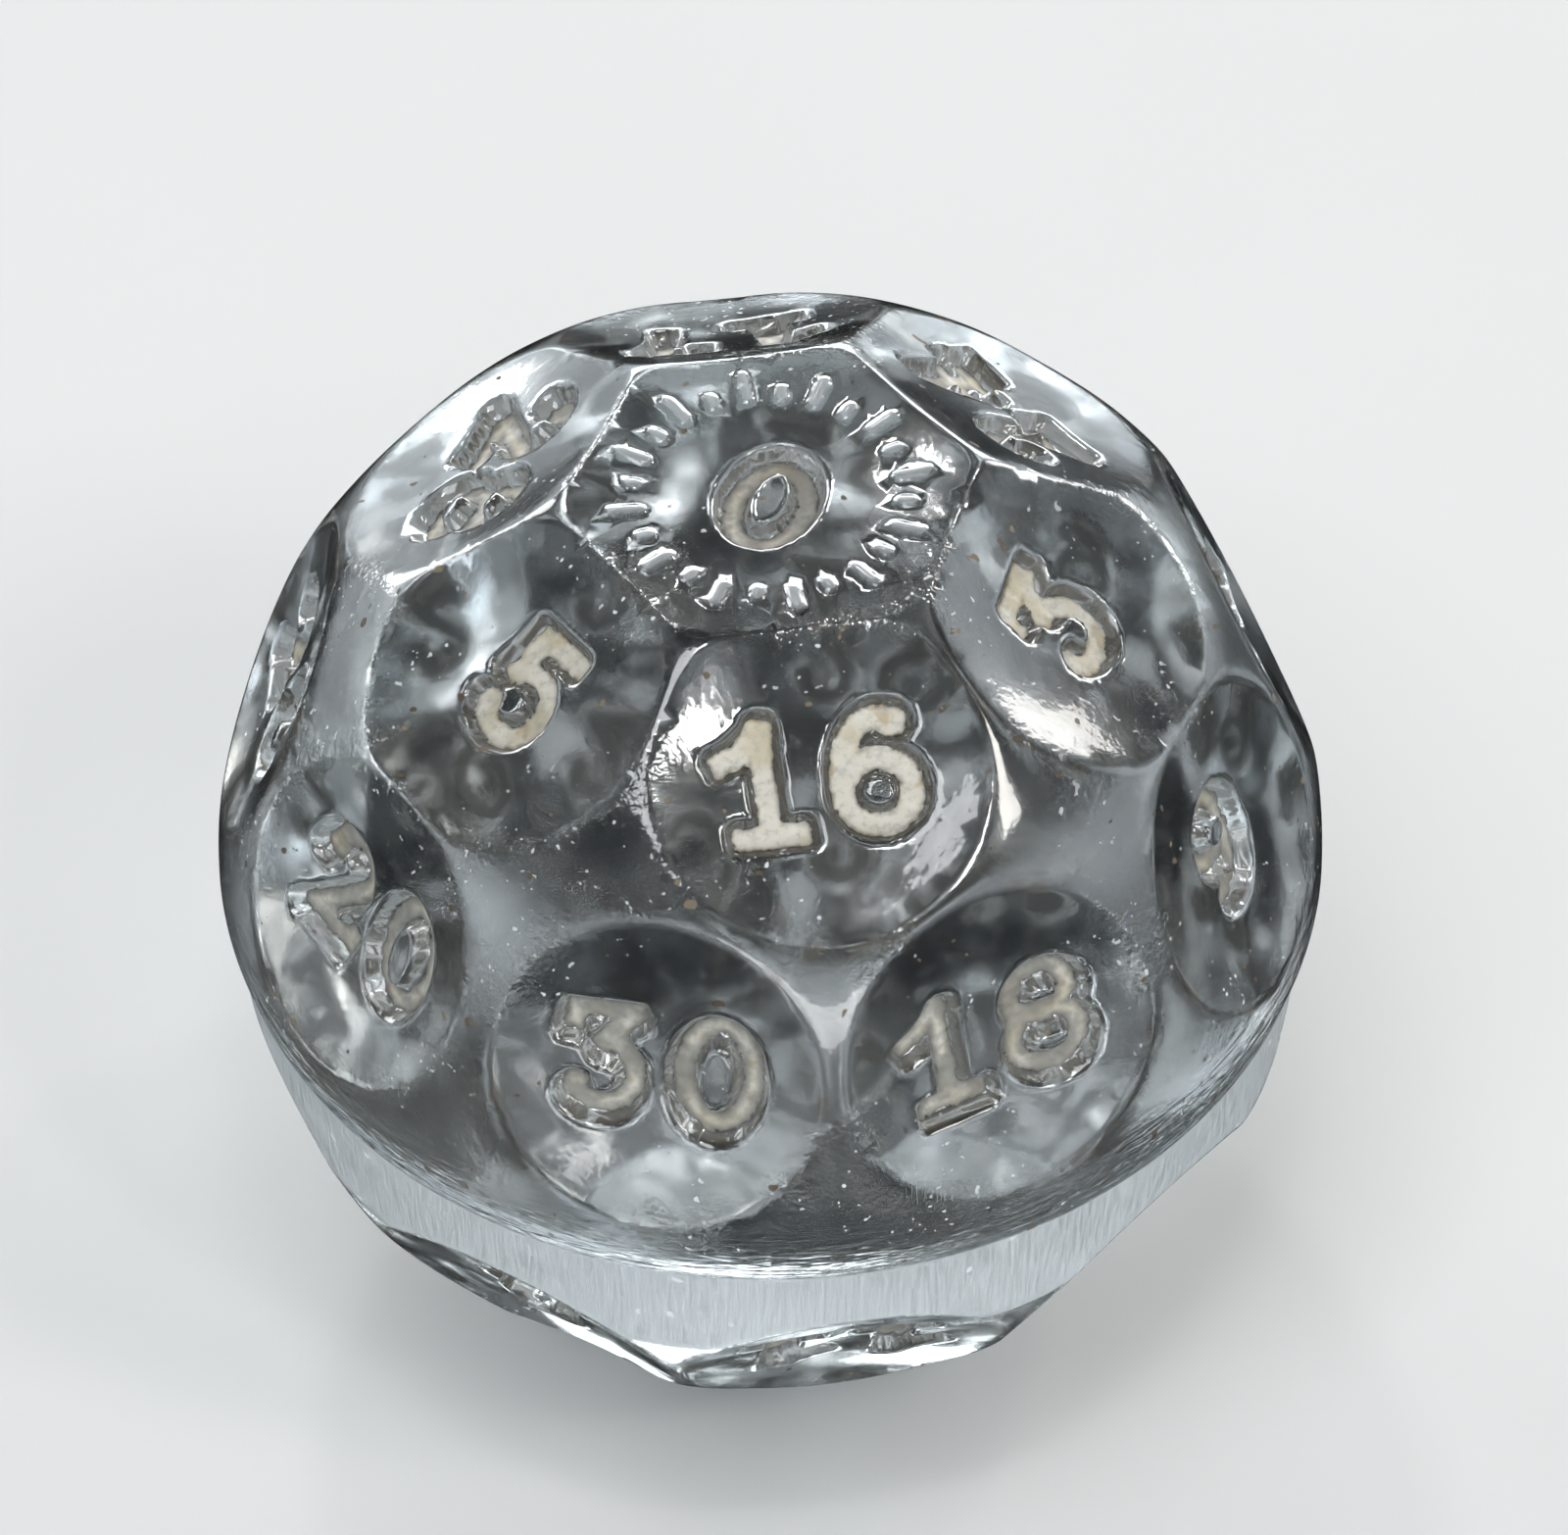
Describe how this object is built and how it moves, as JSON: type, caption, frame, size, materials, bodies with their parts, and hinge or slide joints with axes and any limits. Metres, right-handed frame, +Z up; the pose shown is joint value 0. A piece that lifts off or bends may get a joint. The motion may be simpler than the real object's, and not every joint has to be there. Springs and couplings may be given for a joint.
{
  "type": "glass ball die",
  "caption": "Clear pressed-glass ball die with flat numbered facets in rings about a ground belt, numerals recessed and filled with ivory enamel.",
  "frame": {"origin": "middle of the facet numbered 31, which the die rests on", "axes": "+Z up through the middle of the facet numbered 0; -Y towards the side the facet numbered 16 leans to; +X to the right seen from there"},
  "size_m": [0.025, 0.025, 0.0234],
  "materials": {
    "clear_glass": "fire-polished, scratched and rubbed, with a ground belt",
    "ivory_enamel": "brushed-on ivory enamel, worn and stained"
  },
  "bodies": {
    "root": {"glass_body": "clear_glass", "enamel_0": "ivory_enamel", "enamel_16_tens": "ivory_enamel", "enamel_16_units": "ivory_enamel", "enamel_3": "ivory_enamel", "enamel_24_tens": "ivory_enamel", "enamel_24_units": "ivory_enamel", "enamel_17_tens": "ivory_enamel", "enamel_17_units": "ivory_enamel", "enamel_28_tens": "ivory_enamel", "enamel_28_units": "ivory_enamel", "enamel_5": "ivory_enamel", "enamel_30_tens": "ivory_enamel", "enamel_30_units": "ivory_enamel", "enamel_18_tens": "ivory_enamel", "enamel_18_units": "ivory_enamel", "enamel_9": "ivory_enamel", "enamel_22_tens": "ivory_enamel", "enamel_22_units": "ivory_enamel", "enamel_7": "ivory_enamel", "enamel_14_tens": "ivory_enamel", "enamel_14_units": "ivory_enamel", "enamel_1": "ivory_enamel", "enamel_26_tens": "ivory_enamel", "enamel_26_units": "ivory_enamel", "enamel_20_tens": "ivory_enamel", "enamel_20_units": "ivory_enamel", "enamel_11_tens": "ivory_enamel", "enamel_11_units": "ivory_enamel", "enamel_25_tens": "ivory_enamel", "enamel_25_units": "ivory_enamel", "enamel_6": "ivory_enamel", "enamel_13_tens": "ivory_enamel", "enamel_13_units": "ivory_enamel", "enamel_29_tens": "ivory_enamel", "enamel_29_units": "ivory_enamel", "enamel_2": "ivory_enamel", "enamel_12_tens": "ivory_enamel", "enamel_12_units": "ivory_enamel", "enamel_23_tens": "ivory_enamel", "enamel_23_units": "ivory_enamel", "enamel_8": "ivory_enamel", "enamel_19_tens": "ivory_enamel", "enamel_19_units": "ivory_enamel", "enamel_4": "ivory_enamel", "enamel_27_tens": "ivory_enamel", "enamel_27_units": "ivory_enamel", "enamel_10_tens": "ivory_enamel", "enamel_10_units": "ivory_enamel", "enamel_21_tens": "ivory_enamel", "enamel_21_units": "ivory_enamel", "enamel_15_tens": "ivory_enamel", "enamel_15_units": "ivory_enamel", "enamel_31_tens": "ivory_enamel", "enamel_31_units": "ivory_enamel"}
  },
  "joints": []
}
